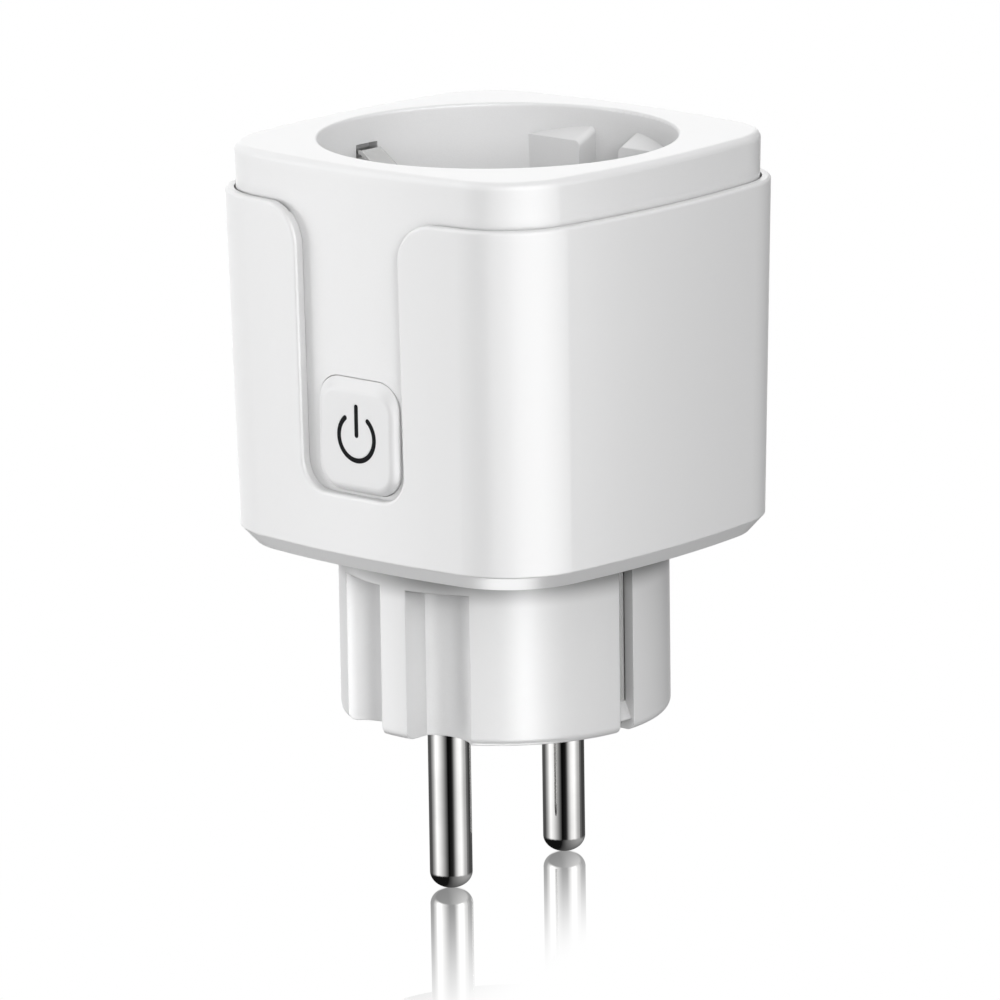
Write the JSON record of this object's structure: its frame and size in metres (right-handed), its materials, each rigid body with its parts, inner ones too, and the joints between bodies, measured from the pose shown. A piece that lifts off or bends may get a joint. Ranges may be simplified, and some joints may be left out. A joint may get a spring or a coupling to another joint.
{
  "type": "smart plug",
  "caption": "Plug-through switched adaptor: square white case with a round earthed socket on top, a push button in a side notch, and round plug pins below.",
  "frame": {"origin": "on the plug's front face, midway between the two line pins", "axes": "+Z from the plug face through the body to the socket rim, -Y towards the push button, pins side by side along Y and pointing down -Z"},
  "size_m": [0.0502, 0.0499, 0.0836],
  "materials": {
    "case_white": "satin gloss moulded PC",
    "button_white": "satin gloss moulded",
    "symbol_black": "printed",
    "pin_nickel": "bright nickel plate on brass",
    "earth_steel": "nickel plated spring strip",
    "contact_brass": "plain stamped brass",
    "carrier_black": "moulded glass filled nylon",
    "shutter_white": "smooth moulded POM",
    "spring_steel": "drawn spring wire",
    "board_green": "solder mask on laminate",
    "relay_black": "moulded epoxy",
    "tin": "bright tin plate",
    "capacitor_yellow": "moulded box",
    "capacitor_dark": "shrink sleeve",
    "ferrite": "ground ferrite",
    "winding_tape": "polyester tape over wire",
    "varistor_blue": "dipped epoxy",
    "fuse_ceramic": "fired tube",
    "led_clear": "clear resin",
    "wire_green": "PVC insulation",
    "screw_steel": "zinc plated"
  },
  "bodies": {
    "case": {"outer_sleeve": "case_white", "socket_housing": "case_white", "socket_cup": "case_white", "socket_guide_lugs": "case_white", "socket_insert": "case_white", "plug_base": "case_white", "live_pin": "pin_nickel", "neutral_pin": "pin_nickel", "pin_clamp_plate": "carrier_black", "plug_earth_strap": "earth_steel", "earth_pin_sleeve": "earth_steel", "socket_earth_clips": "earth_steel", "socket_earth_bar": "earth_steel", "live_socket_contact": "contact_brass", "neutral_socket_contact": "contact_brass", "contact_carrier": "carrier_black", "shutter_springs": "spring_steel", "main_board": "board_green", "relay": "relay_black", "relay_terminals": "tin", "suppression_capacitor": "capacitor_yellow", "electrolytic_capacitor": "capacitor_dark", "transformer_core": "ferrite", "transformer_winding": "winding_tape", "transformer_feet": "carrier_black", "varistor": "varistor_blue", "fuse_body": "fuse_ceramic", "fuse_end_caps": "tin", "control_board": "board_green", "tact_switch_body": "relay_black", "wireless_shield_can": "tin", "wireless_module": "board_green", "metering_chip": "relay_black", "indicator_led": "led_clear", "earth_wire": "wire_green", "case_screws": "screw_steel", "clamp_screws": "screw_steel", "board_screws": "screw_steel", "carrier_screws": "screw_steel"},
    "button": {"button_cap": "button_white", "button_symbol": "symbol_black"},
    "switch_plunger": {"tact_switch_plunger": "shutter_white"},
    "shutter": {"safety_shutter": "shutter_white"}
  },
  "joints": [
    {"name": "button_press", "type": "slide", "parent": "case", "child": "button", "axis": [0, 1, 0], "range_m": [0, 0.0004], "stiffness_N_per_m": 3000, "springref_m": -0.0001},
    {"name": "switch_plunger_press", "type": "slide", "parent": "case", "child": "switch_plunger", "axis": [0, 1, 0], "range_m": [0, 0.0004]},
    {"name": "shutter_slide", "type": "slide", "parent": "case", "child": "shutter", "axis": [1, 0, 0], "range_m": [0, 0.0059], "stiffness_N_per_m": 60, "springref_m": -0.003, "deforming": ["shutter_springs"]}
  ],
  "couplings": [
    {"joint": "switch_plunger_press", "follows": "button_press", "ratio": 1}
  ]
}
